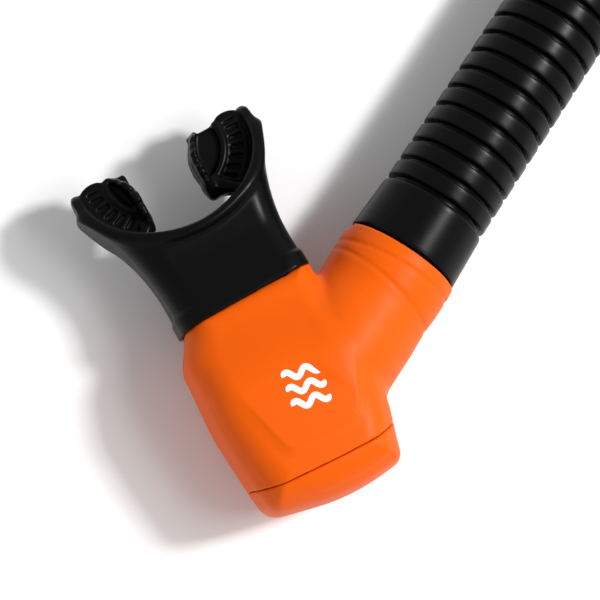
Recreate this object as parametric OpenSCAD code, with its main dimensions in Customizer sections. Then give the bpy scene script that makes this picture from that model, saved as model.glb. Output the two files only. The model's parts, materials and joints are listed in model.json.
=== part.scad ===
// Dry snorkel lying on its back: purge chamber with mouthpiece, corrugated hose,
// rigid barrel with a mask clip, and a float-valve top.
// Frame: +X runs along the hose towards the top, +Y towards the mouthpiece side, +Z up.
// The origin is the middle of the chamber's flat back, which rests on z = 0.

/* [Overall] */
// Thickness of the chamber and the dry top, front to back
body_t = 43; // [40:0.5:46]
// Turn of the chamber's long axis away from +X
chamber_turn = 60; // [56:1:64]
// Turn of the mouthpiece's axis away from +X
mouth_turn = 63.3; // [60:0.1:66]

/* [Chamber] */
// Width of the chamber at its lower end
chamber_w = 43; // [40:0.5:46]
// Rounding of the chamber's corners
corner_r = 9; // [7:0.5:10]
// Wall of the chamber and its cover
shell_wall = 2.4; // [2:0.1:2.8]
// Half width of the mouthpiece port
port_hw = 20; // [19:0.5:21]
// Half depth of the mouthpiece port
port_hd = 14.5; // [13.5:0.5:15.5]
// Radius of the curved parting line of the purge cover
parting_r = 40; // [36:1:48]
// Height of the raised front panel
panel_h = 1; // [0.6:0.1:1.4]

/* [Hose] */
// Outer radius of the hose socket
socket_r = 17.6; // [17.2:0.1:18]
// Distance from the origin to the end edge of the hose socket
socket_x = 50; // [48:1:54]
// Offset of the hose axis from the origin
hose_y = -5; // [-6:0.5:-4]
// Outer radius of the hose rings
ring_r = 16; // [15.5:0.1:16.4]
// Inner radius of the hose
hose_bore_r = 12; // [11.5:0.1:12.4]
// Distance from one ring to the next
ring_pitch = 6.35; // [6:0.05:6.6]
// Width of the groove between two rings
groove_w = 1.6; // [1.2:0.1:2]
// Depth of the groove between two rings
groove_d = 2.2; // [1.6:0.1:2.6]
// Number of bending links in the hose, three rings in each
link_count = 5; // [5:1:5]

/* [Barrel] */
// Outer radius of the barrel
barrel_r = 13; // [12.8:0.1:13.2]
// Wall of the barrel
barrel_wall = 1.7; // [1.4:0.1:2]
// Length of the barrel's straight lower part beyond the hose
barrel_straight = 62; // [58:1:70]
// Radius of the barrel's bend
bend_r = 200; // [180:5:240]
// Angle of the barrel's bend
bend_a = 20; // [15:1:25]

/* [Dry top] */
// Outer radius of the dry top before its two sides are flattened
top_r = 23; // [22.5:0.5:24]
// Wall of the splash guard
guard_wall = 2.2; // [1.8:0.1:2.4]
// Angle by which the flap stands open
flap_open = 35; // [30:1:36]

/* [Mask clip] */
// Width of the clip ring along the barrel
clip_w = 16; // [14:1:18]
// Length of the strap slots in the keeper
slot_l = 26; // [22:1:28]
// Width of the strap slots in the keeper
slot_w = 3.6; // [3:0.2:4]

/* [Hidden] */

$fn = 64;
round_fn = 32;        // smoothness of the spheres and slices inside a hull
run_gap = 0.05;       // radial clearance of parts that turn or slide on each other
seam_step = 0.02;     // step that keeps two joined tubes from sharing an edge
eps = 0.5;            // how far a cut runs past the face it opens

mid_z = body_t / 2;
half_t = body_t / 2;
shell_half_t = half_t - panel_h;   // half thickness below the raised panel

// chamber, in its own frame: x across, y towards the mouthpiece
low_left = -chamber_w / 2 - 2;
low_right = chamber_w / 2 - 2;
low_y = -30;
port_y = 28.2;
parting_y = -19.5;

// hose, measured along +X from the socket's end edge
cuff_in = 17.6;                    // how far the lower cuff reaches into the socket
cuff_out = 16.5;                   // visible length of the lower cuff
link_l = 3 * ring_pitch;
first_hinge = cuff_out + groove_w / 2;
last_hinge = first_hinge + link_count * link_l;
upper_cuff_l = 21;
hose_end = last_hinge + upper_cuff_l;
spigot_r = 13;
plug_r = 15.4;

barrel_start = last_hinge + 4;
bend_start = hose_end + barrel_straight;
clip_at = hose_end + 22;           // middle of the clip ring, from the socket's edge

// dry top, measured along its own axis from the end of the bend
base_u = 16;
guard_u = 34;
seat_u = 53.5;
pin_u = 55.7;
pin_v = 14.6;
pin_r = 0.9;
cap_u = 74;
top_end_u = 83;
stub_r = 12.5;
flap_r = 11.4;

// ---------- frames ----------
module chamber_frame() {
    translate([0, 0, mid_z]) rotate([0, 0, chamber_turn - 90]) children();
}

module mouth_frame() {
    translate([13.8, 24.5, mid_z]) rotate([0, 0, mouth_turn - 90]) children();
}

// x of the children runs along the hose from the socket's edge
module hose_frame() {
    translate([socket_x, hose_y, mid_z]) children();
}

// x of the children runs along the dry top from the end of the barrel's bend
module top_frame() {
    hose_frame()
    translate([bend_start + bend_r * sin(bend_a), bend_r * (1 - cos(bend_a)), 0])
    rotate([0, 0, bend_a])
    children();
}

// ---------- shared shapes ----------
// a turned solid about +X; the profile's points are [distance along x, radius]
module turned(profile) {
    rotate([90, 0, 90])
    rotate_extrude()
    polygon([for (p = profile) [p[1], p[0]]]);
}

module tube_x(x0, x1, r_out, r_in) {
    turned([[x0, r_in], [x1, r_in], [x1, r_out], [x0, r_out]]);
}

module rod_x(x0, x1, r) {
    translate([x0, 0, 0]) rotate([0, 90, 0]) cylinder(h = x1 - x0, r = r);
}

// rectangle with round corners, centred
module round_rect(hx, hy, r) {
    square([2 * (hx - r), 2 * hy], center = true);
    square([2 * hx, 2 * (hy - r)], center = true);
    for (sx = [-1, 1], sy = [-1, 1])
        translate([sx * (hx - r), sy * (hy - r)]) circle(r = r);
}

// round-cornered bar whose length runs along y, from y0 to y1
module bar_y(y0, y1, hx, hz, r) {
    translate([0, y1, 0]) rotate([90, 0, 0]) linear_extrude(y1 - y0) round_rect(hx, hz, r);
}

// ---------- chamber ----------
module corner_ball(x, y, r, z) {
    for (side = [-1, 1]) translate([x, y, side * z]) sphere(r = r, $fn = round_fn);
}

// the chamber's solid form; inset is how far its faces move inwards
module chamber_form(inset) {
    r = corner_r - inset;
    z = shell_half_t - corner_r;
    port_r = 5;
    hull() {
        corner_ball(low_left + corner_r, low_y + corner_r, r, z);
        corner_ball(low_right - corner_r, low_y + corner_r, r, z);
        corner_ball(-1.5, low_y + corner_r - 1.8, r, z);
        corner_ball(low_left + corner_r - 2, 5, r, z);
        corner_ball(low_right - corner_r + 1.5, -4, r, z);
        corner_ball(low_right - corner_r + 1.5, 12, r, z);
        for (side = [-1, 1])
            translate([side * (port_hw - port_r), port_y - 3, 0])
            rotate([90, 0, 0])
            linear_extrude(1)
            for (up = [-1, 1])
                translate([0, up * (port_hd - port_r)]) circle(r = port_r - inset, $fn = round_fn);
    }
}

module raised_panel() {
    translate([0, 0, shell_half_t - 1])
    linear_extrude(panel_h + 1)
    difference() {
        polygon([[-9, -15], [12, -15], [15, -11], [17, 0], [18, 8], [-15, 8], [-14, 0], [-12.5, -11]]);
        translate([0, 40]) circle(r = 36);
    }
}

// drum across the chamber whose face is the curved parting line
module parting_cut(grow) {
    translate([0, parting_y - parting_r, 0])
    rotate([0, 90, 0])
    cylinder(h = 3 * chamber_w, r = parting_r + grow, center = true);
}

module chamber_shell() {
    color("darkorange")
    difference() {
        union() {
            chamber_frame() chamber_form(0);
            chamber_frame() raised_panel();
            mouth_frame() bar_y(-6, 0, port_hw, port_hd, 8);
            hose_frame() rod_x(-44, 0, socket_r);
            // lip ring around the socket's end
            hose_frame() turned([[-4, 16], [-3.2, socket_r + 0.35], [-0.8, socket_r + 0.35], [0, 16]]);
            rest_pad();
        }
        chamber_frame() chamber_form(shell_wall);
        chamber_frame() parting_cut(0.12);
        mouth_frame() bar_y(-14, eps, port_hw - 2.2, port_hd - 2.2, 6.5);
        hose_frame() rod_x(-38, -17, spigot_r + 0.02);
        hose_frame() rod_x(-18, eps, plug_r + run_gap);
    }
}

// flat pad on the chamber's back, which the snorkel rests on
module rest_pad() {
    cylinder(h = panel_h + 1, r = 11);
}

// the chamber's lower end: its outline from the front crossed with its outline from the side
module cover_form() {
    intersection() {
        translate([-2, -8, 0])
        linear_extrude(2 * body_t, center = true)
        round_rect(chamber_w / 2, 23.4, 11);

        translate([0, -8, 0])
        rotate([0, 90, 0])
        linear_extrude(2 * chamber_w, center = true)
        round_rect(shell_half_t, 23.4, 9);
    }
}

module purge_cover() {
    color("darkorange")
    chamber_frame()
    difference() {
        intersection() {
            cover_form();
            parting_cut(-0.12);
        }
        translate([-2, 0, 0]) bar_y(low_y + 1.4, 0, 18.6, shell_half_t - shell_wall, 6.5);
        // vents that let the water out
        for (x = [-14, -8, -2, 4, 10])
            translate([x, low_y, 0]) bar_y(-8, 8, 1.3, 9, 1.2);
    }
}

// spoked seat of the purge valve, fixed across the chamber's lower end
module purge_seat() {
    color("dimgray")
    chamber_frame()
    translate([-2, 0, 0])
    difference() {
        bar_y(-17.6, -15.2, 18.4, shell_half_t - shell_wall - 0.5, 6);
        for (turn = [45:90:315])
            rotate([0, turn, 0]) translate([8, -16, 0]) rotate([90, 0, 0])
                cylinder(h = 8, r = 3.6, center = true);
        rotate([90, 0, 0]) cylinder(h = 80, r = 1.65, center = true);
    }
}

// silicone mushroom valve: disc below the seat, stem through it, bulb above it
module purge_valve() {
    color("silver")
    chamber_frame()
    translate([-2, 0, 0])
    rotate([-90, 0, 0])
    rotate_extrude()
    polygon([
        [0, -19.4], [6, -19.2], [13.6, -18.6], [13.6, -17.9], [1.6, -17.9],
        [1.6, -13.6], [2.5, -13.2], [1.9, -11.4], [0, -10.8]
    ]);
}

// inner tube that the hose is pushed onto
module hose_spigot() {
    color("dimgray")
    hose_frame()
    turned([
        [-26, spigot_r - 1.8], [7, spigot_r - 1.8], [8, spigot_r - 1.2],
        [8, spigot_r - 0.6], [7, spigot_r], [-26, spigot_r]
    ]);
}

// ---------- mouthpiece ----------
arch_w = 46;          // distance along the axis where the flange is widest
arch_hw = 26.3;       // half width of the flange
arch_d = 22;          // depth of the flange's arch
flange_t = 2.4;
tab_in = 9.8;         // inner face of the bite tabs

// the flange's arch seen from the front; grow moves it outwards
function arch(grow, y) = let (a = arch_hw + grow, d = arch_d + grow)
    [for (t = [-90:10:90]) [a * sin(t), y - d * cos(t)]];

module neck_slice(y, hw, hd) {
    translate([0, y, 0]) rotate([90, 0, 0]) linear_extrude(0.4)
        for (sx = [-1, 1], sz = [-1, 1])
            translate([sx * (hw - 7), sz * (hd - 7)]) circle(r = 7, $fn = round_fn);
}

// oval seen along the mouthpiece's axis, pointed at both sides
module flange_oval() {
    half_h = 15.5;
    r = (arch_hw * arch_hw + half_h * half_h) / (2 * half_h) + 0.6;
    intersection_for(side = [-1, 1])
        translate([0, 60, side * (r - half_h)])
        rotate([90, 0, 0])
        cylinder(h = 50, r = r);
}

module flange() {
    intersection() {
        translate([0, 0, -20])
        linear_extrude(40)
        difference() {
            union() {
                polygon(arch(0, arch_w));
                translate([-arch_hw, arch_w - 0.01]) square([2 * arch_hw, 4]);
            }
            polygon(arch(-flange_t, arch_w));
            translate([-arch_hw + flange_t, arch_w - 0.02]) square([2 * (arch_hw - flange_t), 5]);
        }
        flange_oval();
    }
}

module bite_tab(side) {
    // platform between the teeth
    translate([side * 16.8, 40, 0])
    linear_extrude(4, center = true)
    round_rect(6.6, 10, 4);
    // lug behind the teeth
    translate([side * (tab_in + 1.1), 40.6, 0])
    rotate([90, 0, 90])
    linear_extrude(2.2, center = true)
    round_rect(9.4, 6.2, 4);
    // web that joins the tab to the flange
    translate([side * 15.2, 29.6, 0]) cube([10, 7, 5], center = true);
}

module mouthpiece() {
    color("#181818")
    mouth_frame()
    difference() {
        union() {
            hull() {
                neck_slice(0.6, port_hw, port_hd);
                neck_slice(16, port_hw + 0.2, 13);
            }
            hull() {
                neck_slice(16, port_hw + 0.2, 13);
                neck_slice(27.4, port_hw + 1.4, 11.5);
            }
            bar_y(-9, 0.4, port_hw - 2.5, port_hd - 2.5, 6.2);
            flange();
            for (side = [-1, 1]) bite_tab(side);
        }
        difference() {
            translate([0, 31, -30]) linear_extrude(60)
                polygon(arch(-flange_t, arch_w - 31));
            for (side = [-1, 1]) bite_tab(side);
            translate([0, -40, 0]) cube([80, 80, 80], center = true);
        }
        bar_y(-10, 14, port_hw - 4.2, port_hd - 4.2, 5);
        bar_y(13, 34, 11, 6.4, 5);
    }
}

// stiff collar that keeps the mouthpiece's plug in the port
module mouthpiece_collar() {
    color("dimgray")
    mouth_frame()
    difference() {
        bar_y(-9.2, 3, port_hw - 4.3, port_hd - 4.3, 4.9);
        bar_y(-10, 4, port_hw - 5.9, port_hd - 5.9, 3.6);
    }
}

// ---------- hose ----------
module hose_lower_cuff() {
    color("#181818")
    hose_frame()
    turned([
        [-cuff_in, spigot_r + run_gap], [8.5, spigot_r + run_gap], [9.5, hose_bore_r],
        [first_hinge, hose_bore_r], [first_hinge, ring_r - groove_d],
        [cuff_out, ring_r - groove_d], [cuff_out, ring_r - 0.3], [cuff_out - 0.6, ring_r + 0.1],
        [0.4, ring_r + 0.9], [0.3, plug_r], [-cuff_in, plug_r]
    ]);
}

// one link of the hose: three rings, from one hinge to the next
function ring_steps(x) = [
    [x + groove_w / 2, ring_r - groove_d], [x + groove_w / 2 + 0.1, ring_r - 0.3],
    [x + groove_w / 2 + 0.4, ring_r], [x + ring_pitch - groove_w / 2 - 0.4, ring_r],
    [x + ring_pitch - groove_w / 2 - 0.1, ring_r - 0.3],
    [x + ring_pitch - groove_w / 2, ring_r - groove_d]
];

module hose_link(index) {
    x0 = first_hinge + (index - 1) * link_l;
    color("#181818")
    hose_frame()
    turned(concat(
        [[x0 + link_l, hose_bore_r], [x0, hose_bore_r], [x0, ring_r - groove_d]],
        [for (k = [0:2]) each ring_steps(x0 + k * ring_pitch)],
        [[x0 + link_l, ring_r - groove_d]]
    ));
}

module hose_upper_cuff() {
    x0 = last_hinge;
    color("#181818")
    hose_frame()
    turned([
        [x0, hose_bore_r], [x0, ring_r - groove_d], [x0 + groove_w / 2, ring_r - groove_d],
        [x0 + groove_w / 2, ring_r - 0.3], [x0 + groove_w / 2 + 0.6, ring_r],
        [x0 + upper_cuff_l - 0.8, ring_r - 0.4], [x0 + upper_cuff_l, ring_r - 1],
        [x0 + upper_cuff_l, barrel_r + run_gap], [x0 + 3.6, barrel_r + run_gap],
        [x0 + 3.2, hose_bore_r]
    ]);
}

// ---------- barrel ----------
// the bent stretch, a hair thinner than the straight ones it joins
module bend(r_out, r_in) {
    hose_frame()
    translate([bend_start, bend_r, 0])
    rotate([0, 0, -90])
    rotate_extrude(angle = bend_a, $fn = 360)
    translate([bend_r, 0])
    difference() {
        circle(r = r_out, $fn = 64);
        circle(r = r_in, $fn = 64);
    }
}

module barrel_tube() {
    color("#222222") {
        hose_frame()
        tube_x(barrel_start, bend_start, barrel_r, barrel_r - barrel_wall);
        bend(barrel_r - seam_step, barrel_r - barrel_wall - seam_step);
        top_frame()
        tube_x(0, 30, barrel_r, barrel_r - barrel_wall);
    }
}

module accent_band() {
    color("darkorange")
    top_frame() tube_x(4, 12, barrel_r + 0.9, barrel_r + 0.02);
}

// ---------- dry top ----------
// turned solid with its front and back flattened to the thickness of the chamber
module flattened(inset) {
    intersection() {
        children();
        cube([400, 100, body_t - 2 * inset], center = true);
    }
}

module top_base() {
    color("#222222")
    top_frame() {
        difference() {
            union() {
                flattened(0)
                turned([
                    [base_u, 0], [base_u, barrel_r + 1.6], [base_u + 1, barrel_r + 2.2],
                    [guard_u - 4, top_r - 0.8], [guard_u - 3, top_r], [guard_u, top_r], [guard_u, 0]
                ]);
                // spigot that the splash guard sits round
                flattened(guard_wall + 0.3) rod_x(guard_u - 1, guard_u + 2, top_r - guard_wall - 0.3);
                rod_x(guard_u - 1, seat_u, stub_r);
                for (side = [-1, 1])
                    translate([seat_u - 0.8, 13.8, side * 4.5]) cube([1.6, 5.6, 2], center = true);
            }
            rod_x(base_u - 1, 30.2, barrel_r + 0.02);
            rod_x(30, seat_u + 1, stub_r - 2);
        }
        // lugs that hold the flap's pin
        for (side = [-1, 1])
            difference() {
                translate([pin_u - 1, 14.1, side * 4.5]) cube([5.8, 5, 2], center = true);
                translate([pin_u, pin_v, 0]) cylinder(h = 20, r = pin_r + 0.02, center = true);
            }
    }
}

module splash_guard() {
    color("darkorange")
    top_frame()
    difference() {
        flattened(0) rod_x(guard_u + 0.1, cap_u, top_r);
        flattened(guard_wall) rod_x(guard_u - 1, cap_u + 1, top_r - guard_wall);
        // air slots all round, between the float's room and the cap
        for (turn = [0:30:330])
            rotate([turn, 0, 0])
            translate([57, 0, 15])
            linear_extrude(20)
            round_rect(9, 2.4, 2.3);
        // the snap ring of the cap
        flattened(guard_wall - 0.8) rod_x(cap_u - 3, cap_u + 1, top_r - guard_wall + 0.8);
    }
}

module top_cap() {
    color("#222222")
    top_frame()
    difference() {
        flattened(0)
        turned([
            [cap_u + 0.1, 0], [cap_u + 0.1, top_r], [cap_u + 2, top_r], [cap_u + 4.5, top_r - 1],
            [cap_u + 6.8, top_r - 3.6], [cap_u + 8.2, top_r - 8], [top_end_u, 6], [top_end_u, 0]
        ]);
        flattened(3) rod_x(cap_u - 1, cap_u + 3, top_r - 5);
    }
    color("#222222")
    top_frame()
    difference() {
        flattened(guard_wall - 0.7) rod_x(cap_u - 2.8, cap_u + 0.1, top_r - guard_wall + 0.7);
        flattened(3.4) rod_x(cap_u - 4, cap_u + 1, top_r - 4);
    }
}

module flap_pin() {
    color("silver")
    top_frame()
    translate([pin_u, pin_v, 0])
    cylinder(h = 12, r = pin_r, center = true);
}

// ring float that rises in water and lifts the flap's tail
module top_float() {
    color("ivory")
    top_frame() {
        difference() {
            flattened(3.4) rod_x(guard_u + 2.4, 48, 19.8);
            rod_x(guard_u, 50, stub_r + 0.8);
        }
        translate([47, 18.4, 0]) rotate([0, 90, 0]) cylinder(h = 4.2, r = 1.3);
    }
}

// turns the closed flap about its pin to where it stands at rest
module flap_frame() {
    top_frame()
    translate([pin_u, pin_v, 0])
    rotate([0, 0, flap_open])
    children();
}

module flap_lever() {
    color("#222222")
    flap_frame()
    difference() {
        union() {
            translate([-0.6, -pin_v, 0]) rod_x(0, 1.4, flap_r);
            translate([0.1, -4, 0]) cube([1.4, 8, 6], center = true);
            cylinder(h = 6.6, r = 1.8, center = true);
            translate([0.1, 2.6, 0]) cube([1.4, 5.2, 6], center = true);
        }
        cylinder(h = 20, r = pin_r + run_gap, center = true);
    }
}

module flap_seal() {
    color("silver")
    flap_frame()
    translate([-2, -pin_v, 0])
    rod_x(0, 1.38, flap_r - 0.4);
}

// ---------- mask clip ----------
stud_y = barrel_r + 7;      // outer face of the clip's boss

module clip_ring() {
    color("#222222")
    hose_frame()
    difference() {
        union() {
            rod_x(clip_at - clip_w / 2, clip_at + clip_w / 2, barrel_r + 2.8);
            translate([clip_at, 0, 0]) bar_y(barrel_r, stud_y, 7, 8, 3);
        }
        rod_x(clip_at - clip_w, clip_at + clip_w, barrel_r + run_gap);
        translate([clip_at, 0, 0]) rotate([-90, 0, 0]) cylinder(h = stud_y + 1, r = 2.52);
    }
}

// headed stud that the keeper turns on
module keeper_stud() {
    color("silver")
    hose_frame()
    translate([clip_at, 0, 0])
    rotate([-90, 0, 0])
    rotate_extrude()
    polygon([
        [0, barrel_r + 1], [2.5, barrel_r + 1], [2.5, stud_y + 3.6], [1.7, stud_y + 3.6],
        [1.7, stud_y + 5.2], [3, stud_y + 5.4], [3, stud_y + 6.4], [2, stud_y + 7.2], [0, stud_y + 7.2]
    ]);
}

module strap_keeper() {
    color("#222222")
    hose_frame()
    translate([clip_at, stud_y, 0])
    difference() {
        union() {
            bar_y(0.3, 3.3, 19, 16, 5);
            bar_y(0.3, 8.6, 7.5, 7.5, 3);
        }
        rotate([-90, 0, 0]) cylinder(h = 20, r = 2.55);
        for (side = [-1, 1])
            translate([side * 13.2, 0, 0]) bar_y(-1, 5, slot_w / 2, slot_l / 2, slot_w / 2 - 0.05);
        // pocket of the latch and room for the stud's head
        translate([0, 0, 2]) bar_y(3.4, 5.3, 4.6, 8.4, 0.4);
        rotate([-90, 0, 0]) translate([0, 0, 5.2]) cylinder(h = 4, r = 3.3);
    }
}

// sliding latch that holds the stud's neck; pressing its head frees the keeper
module release_latch() {
    color("darkorange")
    hose_frame()
    translate([clip_at, stud_y, 0])
    difference() {
        union() {
            translate([0, 0, 2.9]) bar_y(3.7, 5, 4.2, 7.1, 0.4);
            translate([0, 0, 11.2]) bar_y(3.5, 8.2, 4.8, 1.5, 0.8);
        }
        rotate([-90, 0, 0]) cylinder(h = 20, r = 2.2);
        translate([0, 0, 2]) rotate([-90, 0, 0]) cylinder(h = 20, r = 2.2);
        translate([0, 4, 1]) cube([4, 8.2, 2], center = true);
    }
}

module latch_spring() {
    turns = 3;
    color("silver")
    hose_frame()
    translate([clip_at, stud_y + 6.7, 7.8])
    for (k = [0:turns - 1])
        translate([0, 0, k * 0.8])
        rotate_extrude() translate([1, 0]) circle(r = 0.25, $fn = 16);
}

chamber_shell();
purge_cover();
purge_seat();
purge_valve();
hose_spigot();
mouthpiece();
mouthpiece_collar();
hose_lower_cuff();
hose_link(1);  // hose_link_1
hose_link(2);  // hose_link_2
hose_link(3);  // hose_link_3
hose_link(4);  // hose_link_4
hose_link(5);  // hose_link_5
hose_upper_cuff();
barrel_tube();
accent_band();
top_base();
splash_guard();
top_cap();
flap_pin();
top_float();
flap_lever();
flap_seal();
clip_ring();
keeper_stud();
strap_keeper();
release_latch();
latch_spring();
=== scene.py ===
"""Looks of the snorkel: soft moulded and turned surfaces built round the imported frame.

Shapes are worked out in millimetres in three local frames (chamber, mouthpiece and hose) and
placed in the row frame. Moulded pieces are fields of signed distance, meshed by surface nets.
"""

import json
import math

import bpy
import numpy as np
from mathutils import Matrix, Vector


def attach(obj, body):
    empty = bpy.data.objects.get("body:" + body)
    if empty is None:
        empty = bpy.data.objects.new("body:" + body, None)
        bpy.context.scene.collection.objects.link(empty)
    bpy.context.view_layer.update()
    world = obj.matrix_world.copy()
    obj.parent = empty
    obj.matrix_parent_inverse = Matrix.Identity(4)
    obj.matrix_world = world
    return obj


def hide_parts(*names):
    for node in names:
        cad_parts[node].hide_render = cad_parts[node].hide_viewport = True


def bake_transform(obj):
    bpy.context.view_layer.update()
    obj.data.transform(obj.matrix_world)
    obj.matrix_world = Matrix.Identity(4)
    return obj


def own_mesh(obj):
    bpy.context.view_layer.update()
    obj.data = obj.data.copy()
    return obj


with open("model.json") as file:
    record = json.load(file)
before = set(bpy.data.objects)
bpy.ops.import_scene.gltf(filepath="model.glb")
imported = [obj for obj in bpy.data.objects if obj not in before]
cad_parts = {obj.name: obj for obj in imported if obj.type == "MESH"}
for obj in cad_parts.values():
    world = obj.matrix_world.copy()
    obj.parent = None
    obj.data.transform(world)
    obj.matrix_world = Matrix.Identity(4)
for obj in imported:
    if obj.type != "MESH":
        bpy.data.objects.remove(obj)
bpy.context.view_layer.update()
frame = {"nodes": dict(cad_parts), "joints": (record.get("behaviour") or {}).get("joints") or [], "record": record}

MM = 0.001
JOINTS = {j["name"]: j for j in frame["joints"]}
SOCKET = np.array(JOINTS["hose_swivel"]["pos_m"]) / MM     # middle of the hose socket's end edge
MID_Z = SOCKET[2]
CHAMBER_TURN = math.radians(60)      # chamber's long axis, away from +X
MOUTH_TURN = math.radians(63.3)      # mouthpiece's axis, away from +X
MOUTH_ORIGIN = (13.8, 24.5)          # middle of the mouthpiece port


# ---------- frames ----------
class Place:
    """A local frame in the plane of the table: y of the frame points along `turn`."""

    def __init__(self, origin, turn):
        self.origin = np.array([origin[0], origin[1], MID_Z])
        self.y = np.array([math.cos(turn), math.sin(turn), 0.0])
        self.x = np.array([math.sin(turn), -math.cos(turn), 0.0])

    def out(self, points):
        """Local points to the row frame, in metres."""
        p = np.asarray(points, float)
        world = self.origin + p[:, :1] * self.x + p[:, 1:2] * self.y
        world[:, 2] += p[:, 2]
        return world * MM

    def row(self, x, y):
        """Local x and y in the row frame, in millimetres."""
        return (self.origin[0] + self.x[0] * x + self.y[0] * y,
                self.origin[1] + self.x[1] * x + self.y[1] * y)

    def into(self, x, y):
        """Row-frame x and y, in millimetres, to this frame's own."""
        dx, dy = x - self.origin[0], y - self.origin[1]
        return dx * self.x[0] + dy * self.x[1], dx * self.y[0] + dy * self.y[1]


CHAMBER = Place((0, 0), CHAMBER_TURN)
MOUTH = Place(MOUTH_ORIGIN, MOUTH_TURN)


# ---------- signed distances ----------
def smooth_min(a, b, k):
    h = np.clip(0.5 + 0.5 * (b - a) / k, 0, 1)
    return b + (a - b) * h - k * h * (1 - h)


def smooth_max(a, b, k):
    return -smooth_min(-a, -b, k)


def ramp(value, start, end):
    """0 before start, 1 after end, smooth between."""
    t = np.clip((value - start) / (end - start), 0, 1)
    return t * t * (3 - 2 * t)


def round_rect(x, y, hx, hy, r):
    a, b = np.abs(x) - hx + r, np.abs(y) - hy + r
    return np.hypot(np.maximum(a, 0), np.maximum(b, 0)) + np.minimum(np.maximum(a, b), 0) - r


def ellipse(x, y, a, b):
    """Close to the distance from an ellipse, negative inside it."""
    k0 = np.hypot(x / a, y / b)
    k1 = np.hypot(x / a**2, y / b**2) + 1e-6
    return k0 * (k0 - 1) / k1


def filleted(corners, steps=7):
    """The outline through corners [x, y, radius], with an arc at each corner."""
    points = []
    for i, (x, y, r) in enumerate(corners):
        p = np.array([x, y])
        a, b = np.array(corners[i - 1][:2]) - p, np.array(corners[(i + 1) % len(corners)][:2]) - p
        a, b = a / np.linalg.norm(a), b / np.linalg.norm(b)
        half = math.acos(np.clip(a @ b, -1, 1)) / 2
        middle = p + (a + b) / np.linalg.norm(a + b) * r / math.sin(half)
        start, end = p + a * r / math.tan(half) - middle, p + b * r / math.tan(half) - middle
        turn = math.atan2(start[0] * end[1] - start[1] * end[0], start @ end)
        for k in range(steps):
            t = turn * k / (steps - 1)
            c, s = math.cos(t), math.sin(t)
            points.append(middle + [start[0] * c - start[1] * s, start[0] * s + start[1] * c])
    return np.array(points)


def polygon(x, y, points):
    """Signed distance to a polygon."""
    best, inside = np.full(np.broadcast(x, y).shape, 1e9), np.ones(np.broadcast(x, y).shape)
    for a, b in zip(points, np.roll(points, 1, axis=0)):
        ex, ey, wx, wy = b[0] - a[0], b[1] - a[1], x - a[0], y - a[1]
        t = np.clip((wx * ex + wy * ey) / (ex * ex + ey * ey + 1e-12), 0, 1)
        best = np.minimum(best, (wx - ex * t) ** 2 + (wy - ey * t) ** 2)
        c1, c2, c3 = y >= a[1], y < b[1], ex * wy > ey * wx
        inside = np.where((c1 & c2 & c3) | (~c1 & ~c2 & ~c3), -inside, inside)
    return np.sqrt(best) * inside


# ---------- meshing ----------
def surface_net(field, low, high, step):
    """Quads on the field's zero level, one vertex in each cell that it crosses."""
    axes = [np.arange(low[i], high[i] + step, step) for i in range(3)]
    v = field(axes[0][:, None, None], axes[1][None, :, None], axes[2][None, None, :])
    v = np.where(np.abs(v) < 1e-6, 1e-6, v)
    shape = np.array(v.shape)
    corners = {(i, j, k): v[i:shape[0] - 1 + i, j:shape[1] - 1 + j, k:shape[2] - 1 + k]
               for i in (0, 1) for j in (0, 1) for k in (0, 1)}
    count = sum((c < 0).astype(np.int8) for c in corners.values())
    cells = np.argwhere((count > 0) & (count < 8))
    index = np.full(shape - 1, -1)
    index[tuple(cells.T)] = np.arange(len(cells))
    total, hits = np.zeros((len(cells), 3)), np.zeros(len(cells))
    at = tuple(cells.T)
    for (i, j, k), start in corners.items():
        for axis in range(3):
            if (i, j, k)[axis] == 0:
                far = [i, j, k]
                far[axis] = 1
                a, b = start[at], corners[tuple(far)][at]
                cross = (a < 0) != (b < 0)
                point = np.tile(np.array([i, j, k], float), (len(cells), 1))
                point[:, axis] = np.where(cross, a / np.where(cross, a - b, 1), 0)
                total += point * cross[:, None]
                hits += cross
    points = cells + total / hits[:, None]
    faces = []
    for axis in range(3):
        one, two = (axis + 1) % 3, (axis + 2) % 3
        ahead = np.moveaxis(v, axis, 0)
        cross = np.moveaxis((ahead[:-1] < 0) != (ahead[1:] < 0), 0, axis)
        spots = np.argwhere(cross)
        spots = spots[(spots[:, one] > 0) & (spots[:, two] > 0)]
        spots = spots[(spots[:, one] < shape[one] - 1) & (spots[:, two] < shape[two] - 1)]
        quad = []
        for da, db in ((1, 1), (0, 1), (0, 0), (1, 0)):
            cell = spots.copy()
            cell[:, one] -= da
            cell[:, two] -= db
            quad.append(index[tuple(cell.T)])
        quad = np.stack(quad, 1)
        out = v[tuple(spots.T)] < 0
        faces.append(np.where(out[:, None], quad, quad[:, ::-1]))
    points = points * step + np.array([a[0] for a in axes])
    return settle(field, points, step), np.concatenate(faces)


def settle(field, points, step, rounds=3, e=0.02):
    """Moves points onto the field's zero level, with slopes taken over 2 * e."""
    for _ in range(rounds):
        x, y, z = points.T
        f = field(x, y, z)
        g = np.stack([field(x + e, y, z) - field(x - e, y, z),
                      field(x, y + e, z) - field(x, y - e, z),
                      field(x, y, z + e) - field(x, y, z - e)], 1) / (2 * e)
        size = np.maximum((g ** 2).sum(1), 0.1)
        move = -f[:, None] * g / size[:, None]
        reach = np.linalg.norm(move, axis=1)
        points = points + move * (np.minimum(reach, 0.4 * step) / np.maximum(reach, 1e-9))[:, None]
    return points


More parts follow.
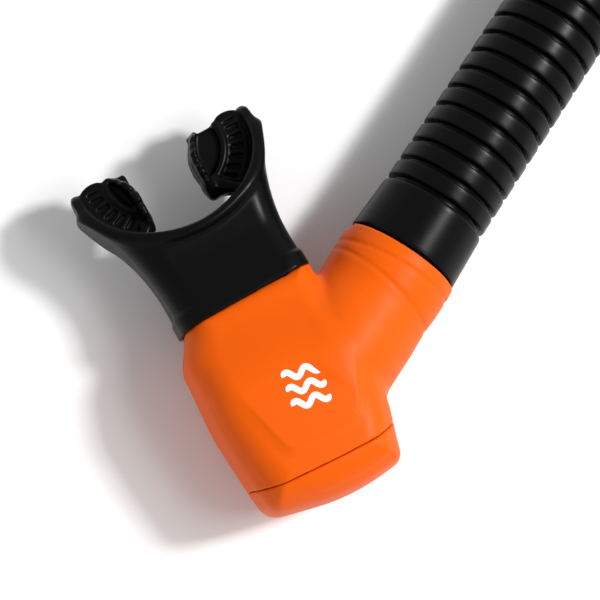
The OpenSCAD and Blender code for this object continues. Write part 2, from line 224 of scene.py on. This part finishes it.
def mesh_piece(name, verts, faces, material, smooth_angle=None):
    """A piece from points in the row frame; edges sharper than smooth_angle, in degrees, stay sharp."""
    mesh = bpy.data.meshes.new(name)
    mesh.from_pydata(verts.tolist(), [], faces)
    mesh.validate()
    mesh.shade_smooth()
    if smooth_angle:
        mesh.set_sharp_from_angle(angle=math.radians(smooth_angle))
    mesh.materials.append(material)
    piece = bpy.data.objects.new(name, mesh)
    bpy.context.scene.collection.objects.link(piece)
    return piece


def moulded(name, field, low, high, step, place, material):
    """A piece on the zero level of a field that is given in `place`."""
    verts, faces = surface_net(field, low, high, step)
    return mesh_piece(name, place.out(verts), faces.tolist(), material)


# ---------- materials ----------
def new_material(name):
    material = bpy.data.materials.new(name)
    material.use_nodes = True
    nodes, links = material.node_tree.nodes, material.node_tree.links
    return material, nodes, links, nodes["Principled BSDF"]


def noise(nodes, links, scale, detail=3.0, rough=0.5):
    place = nodes.new("ShaderNodeTexCoord")
    n = nodes.new("ShaderNodeTexNoise")
    n.inputs["Scale"].default_value = scale
    n.inputs["Detail"].default_value = detail
    n.inputs["Roughness"].default_value = rough
    links.new(place.outputs["Object"], n.inputs["Vector"])
    return n.outputs["Fac"]


def mapped(nodes, links, source, low, high):
    m = nodes.new("ShaderNodeMapRange")
    m.inputs["To Min"].default_value = low
    m.inputs["To Max"].default_value = high
    links.new(source, m.inputs["Value"])
    return m.outputs["Result"]


def bumped(nodes, links, shader, source, strength, distance):
    b = nodes.new("ShaderNodeBump")
    b.inputs["Strength"].default_value = strength
    b.inputs["Distance"].default_value = distance
    links.new(source, b.inputs["Height"])
    links.new(b.outputs["Normal"], shader.inputs["Normal"])


def tinted(nodes, links, shader, source, one, two):
    mix = nodes.new("ShaderNodeMix")
    mix.data_type = "RGBA"
    mix.inputs["A"].default_value = (*one, 1)
    mix.inputs["B"].default_value = (*two, 1)
    links.new(source, mix.inputs["Factor"])
    links.new(mix.outputs["Result"], shader.inputs["Base Color"])


def grained(name, one, two, rough, grain, grain_depth, ior=1.5):
    """Moulded material: a soft drift of colour, mottled gloss and a fine grain."""
    material, nodes, links, shader = new_material(name)
    tinted(nodes, links, shader, noise(nodes, links, 35, 2), one, two)
    links.new(mapped(nodes, links, noise(nodes, links, 260, 3), rough[0], rough[1]),
              shader.inputs["Roughness"])
    bumped(nodes, links, shader, noise(nodes, links, grain, 2), 0.35, grain_depth)
    shader.inputs["IOR"].default_value = ior
    return material


# name, two colours, range of roughness, scale and depth of the grain, index of refraction
ORANGE = grained("orange_plastic", (0.81, 0.108, 0.001), (0.78, 0.102, 0.001),
                 (0.40, 0.50), 2600, 3e-5, 1.2)
RUBBER = grained("black_silicone", (0.0028, 0.0028, 0.003), (0.0042, 0.0042, 0.0044),
                 (0.24, 0.34), 1500, 1.2e-5, 1.17)
BLACK = grained("black_plastic", (0.0035, 0.0035, 0.0037), (0.006, 0.006, 0.0062),
                (0.32, 0.44), 2200, 2.5e-5, 1.22)
CLEAR = grained("clear_silicone", (0.62, 0.64, 0.65), (0.7, 0.71, 0.72), (0.25, 0.35), 900, 1e-5)
FOAM = grained("float_plastic", (0.72, 0.7, 0.62), (0.66, 0.64, 0.57), (0.6, 0.75), 1200, 5e-5)
STEEL = grained("stainless_steel", (0.6, 0.6, 0.61), (0.5, 0.5, 0.51), (0.22, 0.34), 1800, 1e-5)
STEEL.node_tree.nodes["Principled BSDF"].inputs["Metallic"].default_value = 1.0
PRINT = grained("white_print", (0.86, 0.86, 0.86), (0.82, 0.82, 0.82), (0.4, 0.5), 2600, 2e-5, 1.25)
MATERIALS = {"orange_plastic": ORANGE, "black_silicone": RUBBER, "black_plastic": BLACK,
             "clear_silicone": CLEAR, "float_plastic": FOAM, "stainless_steel": STEEL}


def dress_cad_nodes():
    """Gives each CAD node that is shown the material of its slot."""
    slots = {s["node"]: s["material_slot"] for s in frame["record"]["subparts"]}
    for name, node in frame["nodes"].items():
        node.data.materials.clear()
        node.data.materials.append(MATERIALS[slots[name]])


# ---------- chamber ----------
HALF_T = 20.5            # half thickness of the chamber beside its raised panel
PANEL_H = 0.8            # height of the raised panel, and of the round pad on the back
PAD_R = 11.0
PORT_DROP = 6.2, 7.0     # how much nearer the middle the front and the back are at the port
EDGE_R = 9.0             # rounding of the long edges
WALL = 2.4
PORT_CUT = 17.8, 12.3, 6.3           # half width, half depth and corner of the mouthpiece's hole
PORT_DEEP = 14.0
SOCKET_R = 17.4
SOCKET_L = 42.0          # how far the socket's form runs back into the chamber
LIP_S = 0.5              # the lip's end face, back from the CAD socket's edge
PLUG_R, PLUG_DEEP = 15.45, 17.7      # bore that the hose's cuff sits in
DUCT_R, DUCT_DEEP = 13.03, 38.0      # airway behind it
BAND_W, BAND_D = 1.3, 0.24           # grooves round the socket
VENTS, VENT_PITCH, VENT_X, VENT_Z = 5, 6.0, -14.0, -5.6
VENT_CUT = 1.3, 3.8, 1.25            # half width, half length and corner of a vent
VENT_TOP = -22.0                     # the vents are cut from the low end up to here
OUTLINE = filleted([
    (-19.6, 33, 1), (-19.8, 26.6, 5), (-24.6, 18.6, 7), (-25.2, 0, 60), (-23.2, -21, 30),
    (-21.9, -29, 6), (2, -33.6, 60), (18.9, -30.9, 4), (22.2, -17, 10), (23.5, -8, 10),
    (23.5, 4, 8), (20.3, 27, 5), (20.2, 33, 1),
])
PANEL = filleted([(-10.2, -14.9, 3), (11.3, -14.4, 3.5), (17.5, -1, 12), (20, 14, 8), (-18.6, 14, 8)])
PARTING_Y, PARTING_R = -19.8, 76.0


def chamber_body(x, y, z, inset=0.0):
    """The chamber's outer form, less `inset` all round."""
    bulge = np.minimum(np.abs(z) / 11.5, 1.3) ** 2 * (0.8 + 0.5 * ramp(-y, 8, 24)) * (1 - ramp(y, 12, 24))
    outline = polygon(x, y, OUTLINE) + inset + bulge
    port = ramp(y, 4, 27)
    edge = polygon(x, y, PANEL)
    step = (0.5 * ramp(edge, -0.1, 0.6) + 0.5 * ramp(edge, 0.3, 2.6)) * (1 - ramp(y, -4, 7))
    crown = 0.0016 * (x ** 2 + 0.5 * (y + 4) ** 2)
    pad = ramp(np.hypot(x, y), PAD_R, PAD_R + 1)
    front = HALF_T + PANEL_H - crown - PANEL_H * step - PORT_DROP[0] * port
    back = HALF_T + PANEL_H - PANEL_H * pad * (1 - port) - PORT_DROP[1] * port
    half = np.where(z > 0, front, back) - inset
    r = EDGE_R - 0.8 * port - inset
    a, b = outline + r, np.abs(z) - half + r
    return np.hypot(np.maximum(a, 0), np.maximum(b, 0)) + np.minimum(np.maximum(a, b), 0) - r


def hose_coords(x, y):
    """Distance back from the socket's end edge and distance off the hose axis."""
    wx, wy = CHAMBER.row(x, y)
    return SOCKET[0] - wx, wy - SOCKET[1]


def groove(s, start, edge=0.2):
    """A shallow groove round the socket, crisp at both edges."""
    end = start + BAND_W
    return BAND_D * ramp(s, start - edge, start + edge) * (1 - ramp(s, end - edge, end + edge))


def hose_socket(x, y, z):
    """The socket's outer form: round at its lip, taller where it meets the chamber, with two grooves."""
    s, off = hose_coords(x, y)
    first = 4.4 + 0.05 * off + 0.0014 * off ** 2
    second = 10.4 - 0.17 * off + 0.0033 * off ** 2
    tall = SOCKET_R + 3.2 * ramp(s, 12, 34)
    r = np.hypot(off, z * SOCKET_R / tall)
    radius = SOCKET_R + 0.15 * ramp(s, 1, 4) - 0.3 * ramp(s, 9, 15) + 0.3 * ramp(s, 15, 24)
    radius = radius - groove(s, first) - groove(s, second)
    tube = smooth_max(r - radius, LIP_S - s, 0.4)
    return smooth_max(tube, s - SOCKET_L, 2)


def parting(y, z, shift):
    """Distance past the curved line between chamber and purge cover, moved by shift."""
    return np.hypot(y - PARTING_Y + PARTING_R, z) - PARTING_R - shift


def chamber_field(x, y, z):
    s, off = hose_coords(x, y)
    c, w = MOUTH.into(*CHAMBER.row(x, y))
    body = smooth_max(chamber_body(x, y, z), w - 0.6, 0.5)
    d = smooth_min(body, hose_socket(x, y, z), 2.5)
    d = smooth_max(d, -parting(y, z, 0.13), 0.35)
    cavity = chamber_body(x, y, z, WALL)
    port = np.maximum(round_rect(c, z, *PORT_CUT), -w - PORT_DEEP)
    r = np.hypot(off, z)
    seat = np.maximum(r - PLUG_R, s - PLUG_DEEP)
    bore = np.maximum(r - DUCT_R, s - DUCT_DEEP)
    hollow = np.minimum(np.minimum(cavity, port), np.minimum(seat, bore))
    d = smooth_max(d, -hollow, 0.3)
    return np.maximum(d, -MID_Z - z)


def cover_field(x, y, z):
    d = smooth_max(chamber_body(x, y, z), parting(y, z, -0.13), 0.35)
    d = smooth_max(d, -chamber_body(x, y, z, WALL), 0.4)
    for k in range(VENTS):
        vent = round_rect(x - VENT_X - VENT_PITCH * k, z - VENT_Z, *VENT_CUT)
        d = smooth_max(d, -np.maximum(vent, y - VENT_TOP), 0.4)
    return d


def emblem():
    """A generic mark printed on the panel: three short waves."""
    verts, faces = [], []
    rows, row_gap, steps, half_w = 3, 4.1, 48, 5.6
    thick, height, swing = 0.85, 1.05, 4 * math.pi
    for row in range(rows):
        base = len(verts)
        for k in range(steps + 1):
            t = k / steps
            x = -half_w + 2 * half_w * t
            y = (row - 1) * row_gap + height * math.sin(t * swing)
            half = thick * math.sqrt(max(0.0, min(1.0, min(t, 1 - t) * 14)))
            slope = math.atan2(height * swing * math.cos(t * swing), 2 * half_w)
            nx, ny = -math.sin(slope) * half, math.cos(slope) * half
            verts += [(x - nx, y - ny), (x + nx, y + ny)]
        faces += [(base + 2 * k, base + 2 * k + 2, base + 2 * k + 3, base + 2 * k + 1)
                  for k in range(steps)]
    flat = np.array(verts)
    turn, middle = math.radians(-8), (1.8, -1.2)
    x = middle[0] + flat[:, 0] * math.cos(turn) - flat[:, 1] * math.sin(turn)
    y = middle[1] + flat[:, 0] * math.sin(turn) + flat[:, 1] * math.cos(turn)
    z = np.full(len(x), 22.0)             # just above the panel, then brought down onto it
    for _ in range(4):
        z -= chamber_body(x, y, z)
    proud, deep = 0.06, 0.3
    top, n = np.stack([x, y, z + proud], 1), len(x)
    points = np.concatenate([top, top - [0, 0, deep]])
    under = [tuple(i + n for i in reversed(f)) for f in faces]
    walls = []
    for row in range(rows):
        base = row * 2 * (steps + 1)
        low = [base + 2 * k for k in range(steps + 1)]
        high = [base + 2 * k + 1 for k in range(steps, -1, -1)]
        ring = low + high
        walls += [(ring[i], ring[i] + n, ring[(i + 1) % len(ring)] + n, ring[(i + 1) % len(ring)])
                  for i in range(len(ring))]
    piece = mesh_piece("emblem", CHAMBER.out(points), faces + under + walls, PRINT,
                       smooth_angle=40)
    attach(piece, "root")


def build_chamber(step):
    shell = moulded("chamber", chamber_field, (-28, -30, -24), (54, 34, 24), step,
                    CHAMBER, ORANGE)
    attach(shell, "root")
    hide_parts("chamber_shell")
    cover = moulded("purge_cover_shell", cover_field, (-28, -36, -24), (26, -17, 24), step,
                    CHAMBER, ORANGE)
    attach(cover, "root")
    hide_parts("purge_cover")
    emblem()


# ---------- mouthpiece ----------
ARCH_W, ARCH_A, ARCH_B = 46.5, 27.1, 22.6     # flange arch: middle and half axes
FLANGE_T = 1.0                                # half thickness of the flange
TIP = 1.76                                    # angle of the arch at the flange's tips
FLANGE_H = 15.8                               # half height of the flange in its middle
TAB_W = 40.4                                  # middle of the bite tabs, out from the port
RIDGE_W = 40.2                                # middle of their ridges and webs
TAB_IN = 9.0                                  # the tabs' inner ends, off the mouthpiece's middle
POCKET_PITCH = 0.155                          # from one pocket of a tab to the next, as an arch angle
COLLAR_H = 0.6                                # how far the neck's collar stands proud


def bite_tab(c, w, z, e, side):
    """A bite tab: pocketed platform, ridge, web to the flange, upright lug and the root of the lug."""
    a = side * c
    lean = 2.3 * side
    turn = np.arctan2(a / ARCH_A, (ARCH_W - w) / ARCH_B)
    across = smooth_max(np.abs(e + 5.1) - 4.7, np.abs(w - TAB_W) - 10.3, 5)
    across = smooth_max(across, 9.3 - lean - a, 1.5)
    pockets = np.cos((turn - 0.9) * 2 * math.pi / POCKET_PITCH)
    dent = ramp(pockets, -0.35, 0.15) * ramp(-np.abs(e + 5.2), -2.0, -1.6)
    dent = dent * ramp(-np.abs(turn - 1.2), -0.47, -0.44)
    rim = ramp(e, -1.9, -1.4)
    platform = smooth_max(across, np.abs(z) - 2.4 + dent + rim, 0.6)
    ridge = np.hypot(e + 9.0, np.abs(z) - 1.9) - 1.25
    ridge = smooth_max(ridge, np.abs(w - RIDGE_W) - 9.6, 2.5)
    ridge = smooth_max(ridge, TAB_IN - lean - a, 1.5)
    web = smooth_max(np.maximum(np.abs(e + 12) - 5.5, np.abs(w - RIDGE_W) - 8.8), np.abs(z) - 1.0, 0.8)
    web = smooth_max(web, TAB_IN - lean - a, 1)
    middle = 9.9 - lean + 0.045 * np.maximum(w - 40.5, 0) ** 2
    wave = 0.35 * np.sin(w * 1.3 + side) + 0.2 * np.sin(w * 2.9)
    plate = ellipse(z, w - TAB_W, 7.4 + wave, 9.6 + 0.3 * wave)
    lug = smooth_max(np.abs(a - middle) - 0.85 - 0.05 * np.abs(z), plate, 1.6)
    foot, head = (16.8, 28.0), (10.6 - lean, 34.6)       # of the lug's root, across and out
    rx, ry = a - foot[0], w - foot[1]
    tx, ty = head[0] - foot[0], head[1] - foot[1]
    t = np.clip((rx * tx + ry * ty) / (tx * tx + ty * ty), 0, 1)
    root = smooth_max(np.hypot(rx - t * tx, ry - t * ty) - 1.5, np.abs(z) - 4.8 + 1.5 * t, 1.5)
    d = smooth_min(platform, ridge, 0.5)
    d = smooth_min(d, web, 1.2)
    d = smooth_min(d, lug, 1.5)
    return smooth_min(d, root, 1.8)


def neck_section(c, w, z):
    """The neck's rounded rectangle, which widens towards the lips."""
    grow = np.maximum((w - 8) / 32, 0) ** 2.2
    half_w = 19.9 + 8.2 * grow
    half_d = 14.4 - 2.2 * ramp(w, 0, 17) + 3.4 * (np.maximum(w - 15, 0) / 18) ** 2
    collar = COLLAR_H * (1 - ramp(w, 4.6, 6.2))
    return round_rect(c, z, half_w + collar, half_d + 0.4 * collar, 7.5)


def mouth_field(c, w, z):
    e = ellipse(c, w - ARCH_W, ARCH_A, ARCH_B)
    angle = np.arctan2(np.abs(c) / ARCH_A, (ARCH_W - w) / ARCH_B)
    height = FLANGE_H * np.maximum(np.cos(np.minimum(angle / TIP, 1) * math.pi / 2), 0) ** 0.8
    neck = smooth_max(neck_section(c, w, z), -e - 0.2, 1.2)
    neck = smooth_max(neck, 0.6 - w, 0.4)
    neck = smooth_max(neck, np.abs(z) - height + 0.2, 1.5)
    neck = smooth_max(neck, w - 44, 3)
    thick = FLANGE_T + 0.5 * ramp(angle, 1.2, 1.65)
    sheet = smooth_max(np.abs(e) - thick, np.abs(z) - height - 0.6 * ramp(angle, 1.4, 1.7), 0.9)
    sheet = smooth_max(sheet, (angle - TIP + 0.06) * 22, 1)
    bead = np.hypot(e, np.abs(z) - np.maximum(height - 1.0, 0)) - 1.25
    bead = smooth_max(bead, (angle - TIP + 0.03) * 22, 1)
    sheet = smooth_min(sheet, bead, 0.35)
    d = smooth_min(neck, sheet, 2.6)
    tabs = np.minimum(bite_tab(c, w, z, e, 1), bite_tab(c, w, z, e, -1))
    tabs = np.maximum(tabs, e + 0.3)
    d = smooth_min(d, tabs, 1.1)
    plug = np.maximum(round_rect(c, z, 17.5, 12, 6.2), np.abs(w + 4) - 5)
    d = smooth_min(d, plug, 0.3)
    half = 15.8 - 4.6 * ramp(w, 2, 20)
    deep = 10.3 - 4.4 * ramp(w, 2, 20)
    airway = np.maximum(round_rect(c, z, half, deep, 5.2), w - 27)
    return smooth_max(d, -airway, 0.8)


def build_mouthpiece(step):
    piece = moulded("mouthpiece_skin", mouth_field, (-31, -11, -18), (31, 54, 18), step,
                    MOUTH, RUBBER)
    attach(piece, "root")
    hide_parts("mouthpiece")


# ---------- hose ----------
RING_R, BORE_R, PITCH = 16.0, 12.0, 6.35
GROOVE, GROOVE_D = 1.6, 2.3          # width and depth of the grooves between the rings
FIRST = JOINTS["hose_bend_1"]["pos_m"][0] / MM - SOCKET[0]     # the first bend, from the socket's edge
LINKS = 5
LINK_L = 3 * PITCH
PLUGGED_R = 13.05                    # bore of both cuffs, round the spigot and round the barrel
PLUG_END = -17.6                     # end of the lower cuff, inside the socket
CUFF_R, CUFF_IN_R = 16.5, 15.4       # the lower cuff's outside, and where it sits in the socket
UPPER_CUFF = 21.0                    # length of the upper cuff beyond the last bend
CUFF_BEND = 3.9                      # the last bend reaches this far each way, short of the barrel's plug
AROUND = 128                         # points round a turned piece


def arc(cx, cr, radius, start, end, steps=5):
    """Points of a rounded edge, from angle start to angle end in degrees."""
    return [(cx + radius * math.cos(math.radians(start + (end - start) * k / (steps - 1))),
             cr + radius * math.sin(math.radians(start + (end - start) * k / (steps - 1))))
            for k in range(steps)]


def ring(x):
    """One ring of the hose, from its groove's middle at x to the next."""
    half, edge, foot = GROOVE / 2, 0.55, 0.35
    low, top = RING_R - GROOVE_D, RING_R
    left, right = x + half, x + PITCH - half
    return (arc(left - foot, low + foot, foot, -90, 0, 4) + arc(left + edge, top - edge, edge, 180, 90)
            + arc(right - edge, top - edge, edge, 90, 0) + arc(right + foot, low + foot, foot, 180, 270, 4))


def crest_half(x, first):
    """The half of a ring beyond its middle at x, or the half before it."""
    points = ring(x - PITCH / 2)
    middle = len(points) // 2
    return [(x, RING_R)] + points[middle:] if first else points[:middle] + [(x, RING_R)]


def turned(name, profile):
    """A closed rubber solid turned about the hose axis; the profile's points are (x, radius)."""
    n, count = len(profile), AROUND
    xs, rs = np.array(profile).T
    turn = np.arange(count) * 2 * math.pi / count
    verts = np.stack([np.repeat(xs[None, :] + SOCKET[0], count, 0),
                      SOCKET[1] + np.outer(np.cos(turn), rs), MID_Z + np.outer(np.sin(turn), rs)], -1)
    faces = [(i * n + j, i * n + (j + 1) % n, (i + 1) % count * n + (j + 1) % n, (i + 1) % count * n + j)
             for i in range(count) for j in range(n)]
    return mesh_piece(name, verts.reshape(-1, 3) * MM, faces, RUBBER, smooth_angle=35)


def build_hose():
    """One piece for each bend, from the middle of one link to the middle of the next."""
    centre = [FIRST + LINK_L * (k + 0.5) for k in range(LINKS)]
    cuff_end = FIRST - GROOVE / 2
    low = RING_R - GROOVE_D
    lower = [(PLUG_END, PLUGGED_R), (PLUG_END, CUFF_IN_R), (0.3, CUFF_IN_R), (0.35, CUFF_R + 0.05)]
    lower += arc(0.75, CUFF_R, 0.4, 180, 90, 4)
    lower += arc(cuff_end - 1.1, 15.1, 1.1, 82, 0, 6) + arc(cuff_end + 0.35, low + 0.35, 0.35, 180, 270, 4)
    lower += ring(FIRST) + crest_half(centre[0], False)
    lower += [(centre[0], BORE_R), (FIRST, BORE_R), (9.5, BORE_R), (8.5, PLUGGED_R)]
    pieces = [("hose_cuff_to_link_1", lower, ["hose_lower_cuff"], centre[0] - LINK_L, centre[0])]
    for k in range(LINKS - 1):
        a, b = centre[k], centre[k + 1]
        points = crest_half(a, True) + ring(a + PITCH / 2) + ring(a + 1.5 * PITCH) + crest_half(b, False)
        points += [(b, BORE_R), ((a + b) / 2, BORE_R), (a, BORE_R)]
        pieces.append((f"hose_link_{k + 1}_to_{k + 2}", points, [f"hose_link_{k + 1}"], a, b))
    last = FIRST + LINKS * LINK_L
    a, start, end = centre[-1], last + GROOVE / 2, last + UPPER_CUFF
    upper = crest_half(a, True) + ring(a + PITCH / 2)
    upper += arc(start - 0.35, low + 0.35, 0.35, -90, 0, 4)
    upper += arc(start + 0.8, RING_R - 0.8, 0.8, 180, 90) + arc(end - 1.4, RING_R - 1.8, 1.4, 84, 0, 6)
    upper += [(end, PLUGGED_R + 0.3), (end - 0.3, PLUGGED_R), (last + 3.6, PLUGGED_R)]
    upper += [(last + 3.2, BORE_R), (a, BORE_R)]
    pieces.append(("hose_link_5_to_cuff", upper, ["hose_link_5", "hose_upper_cuff"],
                   last - CUFF_BEND, last + CUFF_BEND))
    for k, (name, profile, nodes, start_x, end_x) in enumerate(pieces):
        piece = turned(name, refined(profile))
        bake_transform(piece)
        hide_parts(*nodes)


def refined(profile, longest=1.2):
    """The closed profile with its long stretches cut into steps no longer than `longest`."""
    out = []
    for a, b in zip(profile, profile[1:] + profile[:1]):
        parts = max(1, math.ceil(math.dist(a, b) / longest))
        if math.dist(a, b) > 1e-4:
            out += [(a[0] + (b[0] - a[0]) * k / parts, a[1] + (b[1] - a[1]) * k / parts)
                    for k in range(parts)]
    return out


# ---------- spring of the release latch ----------
def build_spring():
    """A conical spring between the keeper's edge and the latch's head; pressed, its turns nest."""
    axis = np.array(JOINTS["keeper_swivel"]["pos_m"]) / MM
    turns, wire, small, wide = 3, 0.2, 0.45, 1.35
    low, high, out = 7.75, 9.45, 6.7      # ends along the latch's travel, and distance out from the joint
    along, around = 40 * turns, 10
    verts, faces = [], []
    for i in range(along + 1):
        t = i / along
        turn, radius = t * turns * 2 * math.pi, wide + (small - wide) * t
        for k in range(around):
            a = k * 2 * math.pi / around
            r = radius + wire * math.cos(a)
            verts.append((axis[0] + r * math.cos(turn), axis[1] + out + r * math.sin(turn),
                          axis[2] + low + (high - low) * t + wire * math.sin(a)))
    for i in range(along):
        for k in range(around):
            n = (k + 1) % around
            a, b = i * around, (i + 1) * around
            faces.append((a + k, a + n, b + n, b + k))
    faces += [tuple(reversed(range(around))), tuple(along * around + k for k in range(around))]
    piece = mesh_piece("keeper_spring", np.array(verts) * MM, faces, STEEL,
                       smooth_angle=50)
    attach(piece, "keeper")
    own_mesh(piece)
    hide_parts("latch_spring")


# ---------- camera, lights, floor ----------
def build_camera():
    """Looks down on the chamber, ten degrees off the vertical and away from the barrel."""
    data = bpy.data.cameras.new("camera")
    data.sensor_width, data.lens = 36, 138
    data.clip_end = 20
    camera = bpy.data.objects.new("camera", data)
    bpy.context.scene.collection.objects.link(camera)
    tilt, distance = math.radians(10), 0.649
    target = Vector((0.0235, 0.0123, MID_Z * MM))
    back = Vector((-math.sin(tilt), 0, math.cos(tilt)))
    up = Vector((0.838, 0.545, 0))
    up = (up - back * up.dot(back)).normalized()
    right = up.cross(back)
    place = Matrix.Translation(target + back * distance)
    camera.matrix_world = place @ Matrix((right, up, back)).transposed().to_4x4()
    bpy.context.scene.camera = camera


def area_light(name, location, target, size, power, size_y=None):
    data = bpy.data.lights.new(name, "AREA")
    data.energy, data.size = power, size
    if size_y:
        data.shape, data.size_y = "RECTANGLE", size_y
    light = bpy.data.objects.new(name, data)
    bpy.context.scene.collection.objects.link(light)
    light.location = location
    light.rotation_euler = (target - location).to_track_quat("-Z", "Y").to_euler()


def build_stage():
    bpy.ops.mesh.primitive_plane_add(size=6, location=(0.15, 0, 0))
    floor = bpy.context.active_object
    floor.name = "floor"
    material, nodes, links, shader = new_material("floor_white")
    tinted(nodes, links, shader, noise(nodes, links, 3, 2), (0.95, 0.95, 0.95), (0.93, 0.93, 0.935))
    shader.inputs["Roughness"].default_value = 0.85
    floor.data.materials.append(material)
    world = bpy.data.worlds.new("studio")
    world.use_nodes = True
    nodes, links = world.node_tree.nodes, world.node_tree.links
    place, split = nodes.new("ShaderNodeTexCoord"), nodes.new("ShaderNodeSeparateXYZ")
    links.new(place.outputs["Generated"], split.inputs["Vector"])
    # dark overhead, so that faces turned to the camera keep their depth, and pale round the sides
    strength = mapped(nodes, links, split.outputs["Z"], 0.85, 0.3)
    links.new(strength, nodes["Background"].inputs["Strength"])
    nodes["Background"].inputs["Color"].default_value = (1, 1, 1, 1)
    bpy.context.scene.world = world
    middle = Vector((0.02, 0.01, 0.02))       # of the chamber, which both lights point at
    area_light("key", middle + Vector((0.478, -0.429, 0.766)) * 1.1, middle, 0.14, 9)
    area_light("softbox", middle + Vector((0.25, -0.47, 0.88)), middle, 0.4, 2.6, 0.26)


def main():
    step = 0.55
    dress_cad_nodes()
    build_camera()
    build_stage()
    build_chamber(step)
    build_mouthpiece(step * 0.85)
    build_hose()
    build_spring()


main()
bpy.context.scene.view_settings.view_transform = "Standard"
